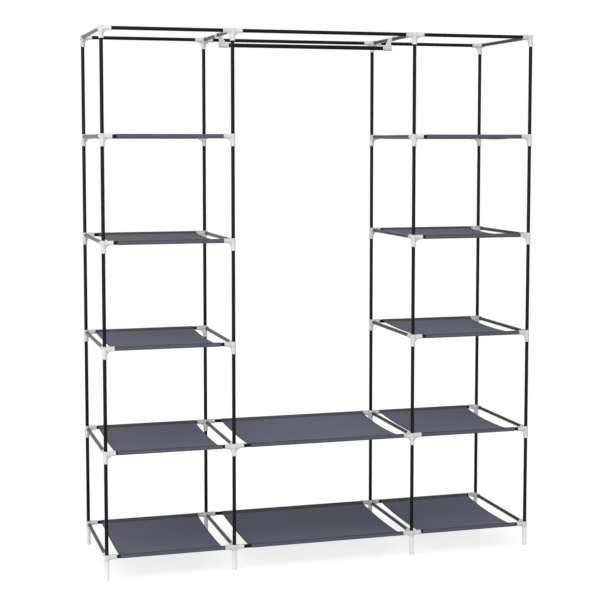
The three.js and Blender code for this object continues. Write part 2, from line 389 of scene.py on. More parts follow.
def combined(body: Shape, added: list[Shape], removed: list[Shape]) -> Mesh:
    """Mesh of one closed body with shapes joined to it and then others cut from it.

    Args:
        body: The first shape.
        added: Shapes that are joined to it.
        removed: Shapes that are cut from the whole.

    Returns:
        The smooth mesh that results, owned by no object.
    """
    whole = body.piece("whole")
    used = [whole]
    for operation, shapes in (("UNION", added), ("DIFFERENCE", removed)):
        for shape in shapes:
            modifier = whole.modifiers.new("cut", "BOOLEAN")
            modifier.operation = operation
            modifier.solver = "EXACT"
            modifier.object = shape.piece("tool")
            used.append(modifier.object)
    graph = bpy.context.evaluated_depsgraph_get()
    made = bpy.data.meshes.new_from_object(whole.evaluated_get(graph))
    for piece in used:
        old = piece.data
        bpy.data.objects.remove(piece)
        bpy.data.meshes.remove(old)
    shade(made)
    return made


def placed(mesh: Mesh, name: str, offset: Point) -> Piece:
    """Object of a copy of a mesh, moved in its own vertices.

    Args:
        mesh: The mesh, which stays as it is.
        name: Name of the copy and of its object.
        offset: How far the copy is moved.

    Returns:
        The object, at the origin.
    """
    copy = mesh.copy()
    copy.name = name
    copy.transform(Matrix.Translation(offset))
    return linked(name, copy)


# Finishes


def paint(red: float, green: float, blue: float) -> Colour:
    """Linear colour of a colour written as screen values, whose curve is straight near black.

    Args:
        red: Red from 0 to 255.
        green: Green from 0 to 255.
        blue: Blue from 0 to 255.

    Returns:
        The colour as a shader takes it, fully opaque.
    """
    values = np.array([red, green, blue]) / 255
    linear = np.where(values <= 0.04045, values / 12.92, ((values + 0.055) / 1.055) ** 2.4)
    return (float(linear[0]), float(linear[1]), float(linear[2]), 1.0)


def feed(node: bpy.types.Node, inputs: Inputs) -> None:
    """Sets inputs of a shader node.

    Args:
        node: The node.
        inputs: Value of each input by name or number, or the socket that it is linked from.
    """
    for name, value in inputs.items():
        if isinstance(value, Socket):
            node.id_data.links.new(value, node.inputs[name])
        else:
            node.inputs[name].default_value = value


def add_node(tree: bpy.types.NodeTree, kind: str, inputs: Inputs, **settings: str) -> bpy.types.Node:
    """Adds a shader node to a tree.

    Args:
        tree: Tree of a material or of the world.
        kind: Kind of node, without its usual prefix.
        inputs: Value of each input by name or number, or the socket that it is linked from.
        settings: Properties of the node, set before its inputs.

    Returns:
        The node.
    """
    node = tree.nodes.new(f"ShaderNode{kind}")
    for name, value in settings.items():
        setattr(node, name, value)
    feed(node, inputs)
    return node


@dataclass(frozen=True)
class Grain:
    """Relief of a surface: a noise with a scale per metre, a depth in metres and a number of octaves."""

    scale: float
    depth: float
    detail: float = 1.0


class Shader:
    """Builds the nodes of one material."""

    def __init__(self, name: str, surface: Inputs) -> None:
        """Makes a material that holds only its output and a surface.

        Args:
            name: Name of the material.
            surface: Inputs of the surface that are the same all over.
        """
        self.material = bpy.data.materials.new(name)
        self.material.use_nodes = True
        self.tree = self.material.node_tree
        self.tree.nodes.clear()
        self.surface = add_node(self.tree, "BsdfPrincipled", surface)
        add_node(self.tree, "OutputMaterial", {"Surface": self.surface.outputs["BSDF"]})
        self.places = add_node(self.tree, "TexCoord", {}).outputs

    def noise(self, scale: float, detail: float = 3.0, source: str = "Object") -> Socket:
        """Noise value at a scale per metre, over the object's own or the cloth's coordinates."""
        inputs = {"Vector": self.places[source], "Scale": scale, "Detail": detail}
        return add_node(self.tree, "TexNoise", inputs).outputs["Fac"]

    def spots(self, scale: float) -> Socket:
        """Distance to the nearest point of an even lattice on the cloth, at a scale per metre."""
        inputs = {"Vector": self.places["UV"], "Scale": scale, "Randomness": 0.0}
        return add_node(self.tree, "TexVoronoi", inputs).outputs["Distance"]

    def tones(self, noise: Socket, low: Colour, high: Colour) -> Socket:
        """Colour that goes from low to high as a noise goes through its usual range.

        Args:
            noise: Noise value.
            low: Colour at its low values.
            high: Colour at its high values.

        Returns:
            The colour.
        """
        ramp = add_node(self.tree, "ValToRGB", {"Fac": noise})
        for element, place, colour in zip(ramp.color_ramp.elements, NOISE_RANGE, (low, high)):
            element.position = place
            element.color = colour
        return ramp.outputs["Color"]

    def carried(self, value: Socket, source: Span, target: Span) -> Socket:
        """Value carried in proportion from one range to another, and held at its ends."""
        ranges = dict(zip(("From Min", "From Max", "To Min", "To Max"), source + target))
        return add_node(self.tree, "MapRange", {"Value": value, **ranges}).outputs["Result"]

    def mixed(self, share: Socket, first: object, second: object, blend: str = "MIX") -> Socket:
        """Two colours, each a value or a socket, mixed by the share of the second."""
        inputs = {"Factor": share, "A": first, "B": second}
        return add_node(self.tree, "Mix", inputs, data_type="RGBA", blend_type=blend).outputs["Result"]

    def grain(self, grain: Grain, source: str = "Object") -> tuple[Socket, float]:
        """Height value of a grain, with its depth."""
        return self.noise(grain.scale, grain.detail, source), grain.depth

    def relief(self, *heights: tuple[Socket, float]) -> None:
        """Bumps the surface by height values, one after another.

        Args:
            heights: Each height value with its depth in metres.
        """
        normal: Inputs = {}
        for height, depth in heights:
            inputs = {"Strength": 1.0, "Distance": depth, "Height": height, **normal}
            normal = {"Normal": add_node(self.tree, "Bump", inputs).outputs["Normal"]}
        feed(self.surface, normal)

    def coat(self, tint: float, low: Colour, high: Colour, gloss: float, roughness: Span) -> None:
        """Colour and roughness that each drift between two values, by noises with a scale per metre.

        Args:
            tint: Scale of the colour's noise.
            low: Colour at its low values.
            high: Colour at its high values.
            gloss: Scale of the roughness's noise.
            roughness: Least and greatest roughness.
        """
        colour = self.tones(self.noise(tint), low, high)
        rough = self.carried(self.noise(gloss), NOISE_RANGE, roughness)
        feed(self.surface, {"Base Color": colour, "Roughness": rough})


@dataclass(frozen=True)
class BlackEnamel:
    """Glossy black enamel on steel tube, with a faint orange peel and patches that are a little duller."""

    slot: str = "black_enamel"
    deep: Colour = paint(4, 4, 5)
    worn: Colour = paint(10, 10, 11)
    wear: float = 38.0
    roughness: Span = (0.24, 0.32)
    patches: float = 120.0
    reflectance: float = 0.16
    peel: Grain = Grain(500.0, 0.002 * MM)
    waves: Grain = Grain(40.0, 0.02 * MM)

    def material(self) -> Material:
        """Builds the finish.

        Returns:
            Its material.
        """
        shader = Shader("black enamel", {"Specular IOR Level": self.reflectance})
        shader.coat(self.wear, self.deep, self.worn, self.patches, self.roughness)
        shader.relief(shader.grain(self.peel), shader.grain(self.waves))
        return shader.material


@dataclass(frozen=True)
class WhitePlastic:
    """White moulded polypropylene, satin and slightly translucent, with faint flow marks."""

    slot: str = "white_plastic"
    pale: Colour = paint(224, 224, 222)
    shaded: Colour = paint(212, 212, 209)
    clouds: float = 55.0
    glow: float = 0.25
    glow_tint: tuple[float, float, float] = (1.0, 0.97, 0.92)
    glow_depth: float = 2.0 * MM
    roughness: Span = (0.34, 0.48)
    patches: float = 140.0
    reflectance: float = 0.4
    mould_skin: Grain = Grain(1500.0, 0.02 * MM, 2.0)
    flow_marks: Grain = Grain(90.0, 0.08 * MM)

    def material(self) -> Material:
        """Builds the finish.

        Returns:
            Its material.
        """
        surface = {
            "Subsurface Weight": self.glow,
            "Subsurface Radius": self.glow_tint,
            "Subsurface Scale": self.glow_depth,
            "Specular IOR Level": self.reflectance,
        }
        shader = Shader("white plastic", surface)
        shader.coat(self.clouds, self.shaded, self.pale, self.patches, self.roughness)
        shader.relief(shader.grain(self.mould_skin), shader.grain(self.flow_marks))
        return shader.material


@dataclass(frozen=True)
class GreyCloth:
    """Spun-bonded cloth: matt fibres pressed together at an even lattice of small points.

    The cloth is thin, so it looks darker round a black tube, in a seam and in a hem, where less light comes
    through it. A point attribute says how much. It also carries painted shade: a darker casing front, a
    painted dark line on the casing's top and a painted crease shadow along each seam.
    """

    slot: str = "grey_fabric"
    light: Colour = paint(105, 107, 127)
    dark: Colour = paint(97, 99, 118)
    bond: Colour = paint(87, 89, 107)
    # Colour the cloth is multiplied towards by the attribute: for the tube or second ply behind it, and for
    # painted shade
    backed_shade: Colour = (0.38, 0.38, 0.27, 1.0)
    fibre_clumps: float = 160.0
    clump_detail: float = 6.0
    point_pitch: float = 2.2 * MM
    point_fade: Span = (0.12, 0.34)
    point_strength: float = 0.5
    point_depth: float = 0.12 * MM
    fibres: Grain = Grain(900.0, 0.06 * MM, 4.0)
    roughness: float = 0.85
    reflectance: float = 0.15
    sheen: float = 0.06
    sheen_roughness: float = 0.5

    def material(self) -> Material:
        """Builds the finish.

        The bonding colour is strongest at a lattice point and gone a third of the pitch away from it.

        Returns:
            Its material.
        """
        surface = {
            "Roughness": self.roughness,
            "Specular IOR Level": self.reflectance,
            "Sheen Weight": self.sheen,
            "Sheen Roughness": self.sheen_roughness,
        }
        shader = Shader("grey cloth", surface)
        points = shader.spots(1 / self.point_pitch)
        fibres = shader.tones(shader.noise(self.fibre_clumps, self.clump_detail, "UV"), self.dark, self.light)
        bonded = shader.carried(points, self.point_fade, (self.point_strength, 0.0))
        marked = shader.mixed(bonded, fibres, self.bond)
        # Darkening by the point attribute, partly a tube or second ply behind the cloth and partly painted
        # shade
        backing_and_shade_mark = add_node(shader.tree, "Attribute", {}, attribute_name=BACKING_AND_PAINTED_SHADE).outputs["Fac"]
        shaded = shader.mixed(backing_and_shade_mark, marked, self.backed_shade, "MULTIPLY")
        feed(shader.surface, {"Base Color": shaded})
        shader.relief((points, self.point_depth), shader.grain(self.fibres, "UV"))
        return shader.material


@dataclass(frozen=True)
class Thread:
    """Polyester sewing thread, in places a little lighter than the cloth."""

    slot: str = "grey_fabric"
    light: Colour = paint(112, 112, 126)
    dark: Colour = paint(86, 86, 100)
    twist: float = 2500.0
    roughness: float = 0.7
    sheen: float = 0.3

    def material(self) -> Material:
        """Builds the finish.

        Returns:
            Its material.
        """
        shader = Shader("thread", {"Roughness": self.roughness, "Sheen Weight": self.sheen})
        tones = shader.tones(shader.noise(self.twist), self.dark, self.light)
        feed(shader.surface, {"Base Color": tones})
        return shader.material


def dress(piece: Piece, slot: str, material: Material, body: str) -> None:
    """Gives a piece its finish and lets it move with a body.

    Args:
        piece: The piece.
        slot: Name of the finish's slot. Not used.
        material: Material made by that finish.
        body: Name of the CAD body that carries the piece.
    """
    piece.data.materials.clear()
    piece.data.materials.append(material)
    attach(piece, body)


@dataclass
class FramePieces:
    """Pieces of one finish that belong to the frame and stand where its layout says."""

    layout: Layout
    finish: BlackEnamel | WhitePlastic

    def pieces(self) -> Iterator[Piece]:
        """Builds the pieces in turn."""
        raise NotImplementedError

    def build(self) -> list[Piece]:
        """Builds the pieces and dresses them.

        Returns:
            The pieces.
        """
        made = list(self.pieces())
        material = self.finish.material()
        for piece in made:
            dress(piece, self.finish.slot, material, FRAME_BODY)
        return made


# Tubes


@dataclass
class Tubes(FramePieces):
    """All 12 mm tubes: storey-long posts, depth tubes and the loose tubes of the bays."""

    finish: BlackEnamel = BlackEnamel()
    radius: float = 6.0 * MM
    wall: float = 0.5 * MM
    chamfer: float = 0.2 * MM
    post_gap: float = 0.4 * MM
    post_start: float = 3.8 * MM
    post_joint: float = -2.0 * MM
    post_end: float = 5.0 * MM
    socket_floor: float = 9.3 * MM

    def tube(self, name: str, start: Point, end: Point, radius: float | None = None) -> Piece:
        """Open-ended tube: a rectangle with broken corners is carried round the line from start to end.

        Args:
            name: Name of the piece.
            start: Middle of one end.
            end: Middle of the other end.
            radius: Outer radius, where it isn't that of the 12 mm tubes.

        Returns:
            The tube.
        """
        outer = self.radius if radius is None else radius
        inner = outer - self.wall
        line = np.array(end) - np.array(start)
        length = float(np.linalg.norm(line))
        cut = self.chamfer
        profile = [
            (inner, 0.0),
            (outer - cut, 0.0),
            (outer, cut),
            (outer, length - cut),
            (outer - cut, length),
            (inner, length),
        ]
        return revolved(profile, np.array(start), line / length, ring=True).piece(name)

    def along_node(self, name: str, node: str, radius: float | None = None) -> Piece:
        """Tube along the width that takes the place of a CAD node, from its left end to its right one.

        Args:
            name: Name of the piece.
            node: Name of the node.
            radius: Outer radius, where it isn't that of the 12 mm tubes.

        Returns:
            The tube.
        """
        low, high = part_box(node)
        _, y, z = node_middle(node)
        piece = self.tube(name, (low[0], y, z), (high[0], y, z), radius)
        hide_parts(node)
        return piece

    def posts(self) -> Iterator[Piece]:
        """Forty post tubes. Two meet in each middle connector, and the top one ends under its closed top.

        Yields:
            Each tube, storey by storey from the floor up, post after post.
        """
        levels = self.layout.levels
        last = len(levels) - 1
        for post, row, x, y in self.layout.corners():
            for storey in range(1, last + 1):
                low = levels[storey - 1] + (self.post_start if storey == 1 else self.post_joint)
                high = levels[storey] + (self.post_end if storey == last else self.post_joint - self.post_gap)
                piece = self.tube(f"post_{row}_{post}_storey_{storey}", (x, y, low), (x, y, high))
                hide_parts(f"side_frame_{post}")
                yield piece

    def depth_tubes(self) -> Iterator[Piece]:
        """Twenty-four tubes from the front to the back row, the two that carry the rod hooks included.

        Yields:
            Each tube, level by level from the floor up, post after post.
        """
        front = self.layout.front + self.socket_floor
        back = self.layout.back - self.socket_floor
        for post, x in enumerate(self.layout.posts, 1):
            for level, z in enumerate(self.layout.levels, 1):
                piece = self.tube(f"depth_tube_{post}_level_{level}", (x, front, z), (x, back, z))
                carries_hook = level == len(self.layout.levels) and post in (2, 3)
                side = "left" if post == 2 else "right"
                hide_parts(f"top_depth_tube_{side}" if carries_hook else f"side_frame_{post}")
                yield piece

    def bay_tubes(self) -> Iterator[Piece]:
        """Thirty tubes along the width, each where its CAD node lies.

        Yields:
            Each tube, level by level from the floor up, row after row.
        """
        for bay in Bay:
            for row in Row:
                for level in self.layout.hanging_bay_levels if bay is Bay.MIDDLE else LEVELS:
                    node = f"{bay}_tube_{row}_{level}"
                    yield self.along_node(f"enamelled_{node}", node)

    def pieces(self) -> Iterator[Piece]:
        """Builds every tube.

        Yields:
            The posts, the depth tubes and the bays' tubes.
        """
        yield from self.posts()
        yield from self.depth_tubes()
        yield from self.bay_tubes()


# Connectors


@dataclass
class Connectors(FramePieces):
    """Forty-eight moulded connectors: a sleeve on the post, level sockets with a lip, and thin webs."""

    finish: WhitePlastic = WhitePlastic()
    radius: float = 7.85 * MM
    root_radius: float = 7.7 * MM
    lip_radius: float = 8.4 * MM
    lip_length: float = 3.0 * MM
    edge: float = 0.5 * MM
    bore: float = 6.3 * MM
    reach: float = 31.5 * MM
    socket_floor: float = 9.0 * MM
    drop: float = 32.0 * MM
    bottom_drop: float = 12.0 * MM
    top: float = 8.0 * MM
    top_bore: float = 5.5 * MM
    overshoot: float = 1.0 * MM
    web_thickness: float = 2.4 * MM
    web_root: float = 4.0 * MM
    web_top: float = 5.0 * MM
    web_reach: float = 26.0 * MM
    web_meets: float = 7.3 * MM
    web_steps: int = 12

    def barrel(self, direction: np.ndarray, back: float, reach: float) -> Shape:
        """Outside of a sleeve or socket: a round body that widens slightly towards a rounded lip.

        Args:
            direction: Unit vector from the connector's centre to the mouth.
            back: How far the body reaches behind the centre.
            reach: Distance from the centre to the mouth.

        Returns:
            The closed body.
        """
        neck = reach - self.lip_length
        profile = [
            (self.root_radius - self.edge, -back),
            (self.root_radius, -back + self.edge),
            (self.radius, neck - self.edge),
            (self.lip_radius, neck + self.edge),
            (self.lip_radius, reach - self.edge),
            (self.lip_radius - self.edge, reach),
        ]
        return revolved(profile, ORIGIN, direction)

    def web(self, outwards: np.ndarray, place: Place) -> Shape:
        """Thin web in the corner between a socket and the sleeve.

        Beside a long sleeve its free edge is a quarter circle that runs out on sleeve and socket, and beside
        a short one it is a straight wedge.

        Args:
            outwards: Level unit vector along the socket.
            place: Where the connector sits on its post.

        Returns:
            The web.
        """
        root, top, reach = self.web_root, self.web_top, self.web_reach
        if place is Place.BOTTOM:
            outline = [(root, -top), (root, -self.bottom_drop), (reach, -top)]
        else:
            free_edge = arc((reach, -reach), reach - self.web_meets, 180.0, 90.0, self.web_steps)
            outline = [(root, -top), (root, -reach), *free_edge, (reach, -top)]
        return plate(outline, self.web_thickness, ORIGIN, outwards)

    def moulding(self, place: Place, headings: tuple[Heading, ...]) -> Mesh:
        """Mesh of one kind of connector about its own centre.

        Args:
            place: Where it sits on the post.
            headings: Directions of its sockets.

        Returns:
            A closed mesh with its bores cut.
        """
        drop = self.bottom_drop if place is Place.BOTTOM else self.drop
        above = self.top_bore if place is Place.TOP else self.top + self.overshoot
        added = []
        removed = [cylinder(self.bore, -above, drop + self.overshoot, -UP)]
        for heading in headings:
            outwards = np.array(heading.value)
            added += [self.barrel(outwards, 0.0, self.reach), self.web(outwards, place)]
            removed.append(cylinder(self.bore, self.socket_floor, self.reach + self.overshoot, outwards))
        return combined(self.barrel(-UP, self.top, drop), added, removed)

    def pieces(self) -> Iterator[Piece]:
        """Builds every connector from one mesh for each kind.

        Yields:
            Each connector.
        """
        kinds: dict[tuple[Place, tuple[Heading, ...]], Mesh] = {}
        for post, row, x, y in self.layout.corners():
            for level, z in enumerate(self.layout.levels, 1):
                kind = (self.layout.place(level), self.layout.headings(post, row, level))
                if kind not in kinds:
                    kinds[kind] = self.moulding(*kind)
                piece = placed(kinds[kind], f"connector_{row}_{post}_level_{level}", (x, y, z))
                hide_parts(f"side_frame_{post}")
                yield piece
        for mesh in kinds.values():
            bpy.data.meshes.remove(mesh)


# Feet


@dataclass
class Feet(FramePieces):
    """Eight pegs: a rounded sole, a thicker pad, a waist, a shoulder under the connector and a spigot."""

    finish: WhitePlastic = WhitePlastic(pale=paint(250, 250, 250), shaded=paint(245, 245, 245), glow=0.6)
    radius: float = 7.5 * MM
    sole_radius: float = 5.2 * MM
    sole_round: float = 2.2 * MM
    sole_steps: int = 5
    pad_height: float = 9.0 * MM
    waist_radius: float = 7.1 * MM
    ease: float = 1.5 * MM
    spigot_radius: float = 6.0 * MM
    spigot_chamfer: float = 0.8 * MM
    shoulder_below_level: float = 12.3 * MM
    spigot_above_level: float = 3.4 * MM

    def peg(self) -> Mesh:
        """Mesh of one foot: its profile from sole to spigot, carried round the upright axis.

        Returns:
            The mesh, with its sole at height 0.
        """
        shoulder = self.layout.levels[0] - self.shoulder_below_level
        top = self.layout.levels[0] + self.spigot_above_level
        inset = self.radius - self.sole_round
        profile = [
            (self.sole_radius - self.ease, 0.0),
            *arc((inset, self.sole_round), self.sole_round, -90.0, 0.0, self.sole_steps),
            (self.radius, self.pad_height),
            (self.waist_radius, self.pad_height + self.ease),
            (self.waist_radius, (self.pad_height + shoulder) / 2),
            (self.radius, shoulder - self.ease),
            (self.radius, shoulder),
            (self.spigot_radius, shoulder),
            (self.spigot_radius, top - self.spigot_chamfer),
            (self.spigot_radius - self.spigot_chamfer, top),
        ]
        return revolved(profile, ORIGIN, UP).mesh("peg")

    def pieces(self) -> Iterator[Piece]:
        """Builds the eight feet from one mesh.

        Yields:
            Each foot.
        """
        peg = self.peg()
        for post, row, x, y in self.layout.corners():
            piece = placed(peg, f"peg_{row}_{post}", (x, y, 0.0))
            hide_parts(f"foot_{row}_{post}")
            yield piece
        bpy.data.meshes.remove(peg)


# Hanging rail


@dataclass
class HangingRail:
    """Round rod in the bosses of two hooks, which clip over the top depth tubes.

    The clip is a ring that is open below, from mouth_start round to mouth_end in degrees.
    """

    layout: Layout
    tubes: Tubes
    finish: WhitePlastic = WhitePlastic()
    clip_radius: float = 8.3 * MM
    seat_radius: float = 6.3 * MM
    clip_length: float = 26.0 * MM
    clip_steps: int = 36
    mouth_start: float = -48.5
    mouth_end: float = 236.5
    boss_radius: float = 8.5 * MM
    boss_lip: float = 8.8 * MM
    boss_start: float = 4.0 * MM
    boss_end: float = 37.0 * MM
    boss_floor: float = 3.0 * MM
    rod_seat: float = 7.3 * MM
    edge: float = 0.6 * MM
    arm_thickness: float = 5.0 * MM
    arm_start: float = 5.6 * MM
    arm_foot: float = 31.0 * MM
    arm_head: float = 13.0 * MM
    arm_height: float = 5.5 * MM
    overshoot: float = 1.0 * MM

    def hook(self, towards_middle: np.ndarray, drop: float) -> Mesh:
        """Mesh of one hook about the axis of its depth tube.

        The clip is the outline of an open ring, carried along the tube. The boss is a profile carried round
        the rod's axis, and the arm is a flat outline that hangs from the clip down to the boss. Then the
        seats of tube and rod are cut from the whole.

        Args:
            towards_middle: Level direction in which the boss points.
            drop: Distance from the tube's axis down to the rod's.

        Returns:
            A closed mesh with its seats cut.
        """
        rod_axis = -drop * UP
        ring = arc((0.0, 0.0), self.clip_radius, self.mouth_start, self.mouth_end, self.clip_steps)
        ring += arc((0.0, 0.0), self.seat_radius, self.mouth_end, self.mouth_start, self.clip_steps)
        clip = plate(ring, self.clip_length, ORIGIN, towards_middle)
        boss_outline = [
            (self.boss_radius - self.edge, self.boss_start),
            (self.boss_radius, self.boss_start + self.edge),
            (self.boss_radius, self.boss_end - 3 * self.edge),
            (self.boss_lip, self.boss_end - 2 * self.edge),
            (self.boss_lip, self.boss_end - self.edge),
            (self.boss_lip - self.edge, self.boss_end),
        ]
        boss = revolved(boss_outline, rod_axis, towards_middle)
        arm_outline = [
            (self.arm_start, -drop),
            (self.arm_foot, -drop),
            (self.arm_head, self.arm_height - self.edge),
            (self.arm_head - self.edge, self.arm_height),
            (self.arm_start, self.arm_height),
        ]
        arm = plate(arm_outline, self.arm_thickness, ORIGIN, towards_middle)
        past = self.clip_length / 2 + self.overshoot
        seat = cylinder(self.seat_radius, -past, past, np.array(Heading.BACK.value))
        floor, mouth = self.boss_start + self.boss_floor, self.boss_end + self.overshoot
        rod_hole = cylinder(self.rod_seat, floor, mouth, towards_middle, rod_axis)
        return combined(arm, [clip, boss], [seat, rod_hole])

    def build(self) -> list[Piece]:
        """Builds the rod and its hooks and dresses them.

        Returns:
            The rod and the two hooks.
        """
        low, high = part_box("hanging_rod")
        rod = self.tubes.along_node("enamelled_hanging_rod", "hanging_rod", (high[2] - low[2]) / 2)
        dress(rod, self.tubes.finish.slot, self.tubes.finish.material(), RAIL_BODY)
        made = [rod]
        material = self.finish.material()
        top = self.layout.levels[-1]
        _, y, z = node_middle("hanging_rod")
        for side, x in (("left", self.layout.posts[1]), ("right", self.layout.posts[2])):
            mesh = self.hook(np.array([-np.sign(x), 0.0, 0.0]), top - z)
            piece = placed(mesh, f"moulded_hook_{side}", (x, y, top))
            bpy.data.meshes.remove(mesh)
            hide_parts(f"rod_hook_{side}")
            dress(piece, self.finish.slot, material, RAIL_BODY)
            made.append(piece)
        return made


# Cloth shelves


@dataclass(frozen=True)
class Edge:
    """How a side edge hangs, in mm: its drop behind each seam, its sag between them and its inward pull."""

    front_drop: float
    back_drop: float
    sag: float
    pull: float


@dataclass(frozen=True)
class Drape:
    """How one shelf hangs: the seed of its puckers, its two side edges and the sag of its middle in mm."""

    seed: int
    left: Edge
    right: Edge
    sag: float = 4.0


@dataclass
class ClothShelf:
    """One sheet of cloth, sewn round the front and the back tube, with its side edges folded under."""

    bay: Bay
    number: int
    drape: Drape
    layout: Layout
    thickness: float = 0.36 * MM
    ply: float = 0.42 * MM
    casing_radius: float = 6.8 * MM
    seam: float = 17.0 * MM
    allowance: float = 4.0 * MM
    hem: float = 9.0 * MM
    hem_columns: tuple[float, ...] = (1.0, 0.66, 0.33, 0.0)
    fold_inset: tuple[float, ...] = (0.2, 0.0, 0.2)
    fold_depth: tuple[float, ...] = (0.85, 0.5, 0.15)
    edge_fade: float = 38.0 * MM
    corner: float = 20.0 * MM
    across_step: float = 3.0 * MM
    deck_step: float = 4.0 * MM
    arc_steps: int = 20
    flank_steps: int = 3
    pucker_count: int = 11
    pucker_places: Span = (0.1, 0.9)
    pucker_height: float = 0.55 * MM
    pucker_widths: Span = (7.0 * MM, 16.0 * MM)
    pucker_reaches: Span = (30.0 * MM, 90.0 * MM)
    pucker_rise: float = 6.0 * MM
    stitch: float = 3.0 * MM
    stitch_pitch: float = 4.4 * MM
    thread_radius: float = 0.22 * MM
    hem_stitch: float = 6.5 * MM
    hem_start: float = 0.2
    # Levels of the darkening attribute: on casing and crown the black tube behind the cloth plus painted
    # shade, the crown's a painted dark line; on a seam doubled cloth plus a painted crease shadow; on a hem
    # doubled cloth
    casing_backing: float = 0.34
    crown_backing: float = 0.7
    crown_start: float = 3.2 * MM
    crown_full: float = 5.2 * MM
    seam_backing: float = 1.0
    seam_spread: float = 3.8 * MM
    hem_backing: float = 0.22

    def __post_init__(self) -> None:
        """Reads the shelf's place and draws its puckers from the seed."""
        self.name = f"{self.bay}_shelf_{self.number}"
        low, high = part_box(self.name)
        self.left, self.right = low[0], high[0]
        self.width = self.right - self.left
        self.level = self.layout.levels[self.number - 1]
        self.span = self.layout.back - self.layout.front - 2 * self.seam
        draw = np.random.default_rng(self.drape.seed)
        count = self.pucker_count
        place = np.arange(count) + draw.uniform(*self.pucker_places, count)
        self.pucker_x = self.left + self.width * place / count
        self.pucker_width = draw.uniform(*self.pucker_widths, count)
        self.pucker_reach = draw.uniform(*self.pucker_reaches, count)
        self.pucker_lift = draw.uniform(-1.0, 1.0, count) * self.pucker_height
        self.pucker_end = draw.integers(0, 2, count)

    def half_section(self) -> np.ndarray:
        """Front half of the section.

        The path runs from the raw end under the seam, along the lower flank, round the front of the tube and
        along the upper flank to the seam. The flanks are tangents from the seam's plies to the casing's
        circle.

        Returns:
            Points as (distance behind the front tube's axis, height above it).
        """
        low_ply = -3 * self.ply
        touch = []
        for height in (low_ply, 0.0):
            distance = math.hypot(self.seam, height)
            turn = math.acos(self.casing_radius / distance)
            middle = math.atan2(height, self.seam)
            touch.append(middle - turn if height < 0 else middle + turn)
        angle = np.linspace(touch[0], touch[1] - 2 * math.pi, self.arc_steps + 1)
        curve = self.casing_radius * np.stack([np.cos(angle), np.sin(angle)], axis=1)
        share = np.linspace(0, 1, self.flank_steps + 1)[:, None]
        low_seam = np.array([self.seam, low_ply])
        high_seam = np.array([self.seam, 0.0])
        raw_end = np.array([[self.seam + self.allowance, low_ply]])
        low_flank = low_seam + share[:-1] * (curve[0] - low_seam)
        high_flank = curve[-1] + share[1:] * (high_seam - curve[-1])
        return np.concatenate([raw_end, low_flank, curve, high_flank])

    def section(self) -> tuple[np.ndarray, np.ndarray]:
        """Whole section of the sheet about the level of its tubes.

        Returns:
            Points as (y, up) from the front raw end to the back one, and for each its share of the deck's
            span, which is 0 on the front casing and 1 on the back one.
        """
        half = self.half_section()
        front = half + [self.layout.front, 0.0]
        back = half[::-1] * [-1.0, 1.0] + [self.layout.back, 0.0]
        share = np.linspace(0, 1, round(self.span / self.deck_step) + 1)[1:-1]
        deck = np.stack([self.layout.front + self.seam + self.span * share, np.zeros(len(share))], axis=1)
        shares = np.concatenate([np.zeros(len(front)), share, np.ones(len(back))])
        return np.concatenate([front, deck, back]), shares

    def hang(self, x: np.ndarray, share: np.ndarray) -> tuple[np.ndarray, np.ndarray]:
        """Sideways and downward shift of the deck.

        The sag is a parabola over the deck's span. Near a side edge it goes from the middle's depth to the
        edge's, fading with the distance from the edge. The edge adds a drop that goes from the front's to the
        back's and ends at the seams, and draws in by a parabola. Puckers are narrow ridges that run in from a
        seam and fade.

        Args:
            x: Place along the width.
            share: Share of the span from the front seam to the back one.

        Returns:
            The shift along X and the shift along Z.
        """
        bow = 4 * share * (1 - share)
        from_seam = np.clip(np.minimum(share, 1 - share) * self.span / self.corner, 0, 1)
        settled = from_seam**2 * (3 - 2 * from_seam)
        depth = self.drape.sag * MM * bow
        inward = np.zeros(1)
        for edge, place, side in ((self.drape.left, self.left, 1), (self.drape.right, self.right, -1)):
            near = np.exp(-np.abs(x - place) / self.edge_fade)
            drop = (edge.front_drop + (edge.back_drop - edge.front_drop) * share) * settled
            depth = depth + near * (drop + (edge.sag - self.drape.sag) * bow) * MM
            inward = inward + side * near * edge.pull * bow * MM
        lift = np.zeros(np.broadcast(x, share).shape)
        for place, width, reach, height, end in zip(
            self.pucker_x, self.pucker_width, self.pucker_reach, self.pucker_lift, self.pucker_end
        ):
            away = (share if end == 0 else 1 - share) * self.span
            rise, fall = (np.clip(part / self.pucker_rise, 0, 1) for part in (away, self.span - away))
            lift = lift + height * np.exp(-(((x - place) / width) ** 2) - away / reach) * rise * fall
        return inward, lift - depth

    def across_places(self) -> tuple[np.ndarray, np.ndarray]:
        """Columns of the sheet.

        They run from the left hem's raw end, one ply under the sheet, out to the fold, round it, along the
        top and likewise back under the sheet at the right.

        Returns:
            Their places along X, and how far each lies below the top ply.
        """
        turn = self.ply / 2
        hem = np.array(self.hem_columns) * self.hem + turn
        edge = np.concatenate([hem, np.array(self.fold_inset) * turn])
        edge_below = np.concatenate([np.ones(len(hem)), self.fold_depth]) * self.ply
        top = np.linspace(0, self.width, round(self.width / self.across_step) + 1)[1:-1]
        places = np.concatenate([edge, top, self.width - edge[::-1]])
        return self.left + places, np.concatenate([edge_below, np.zeros(len(top)), edge_below[::-1]])

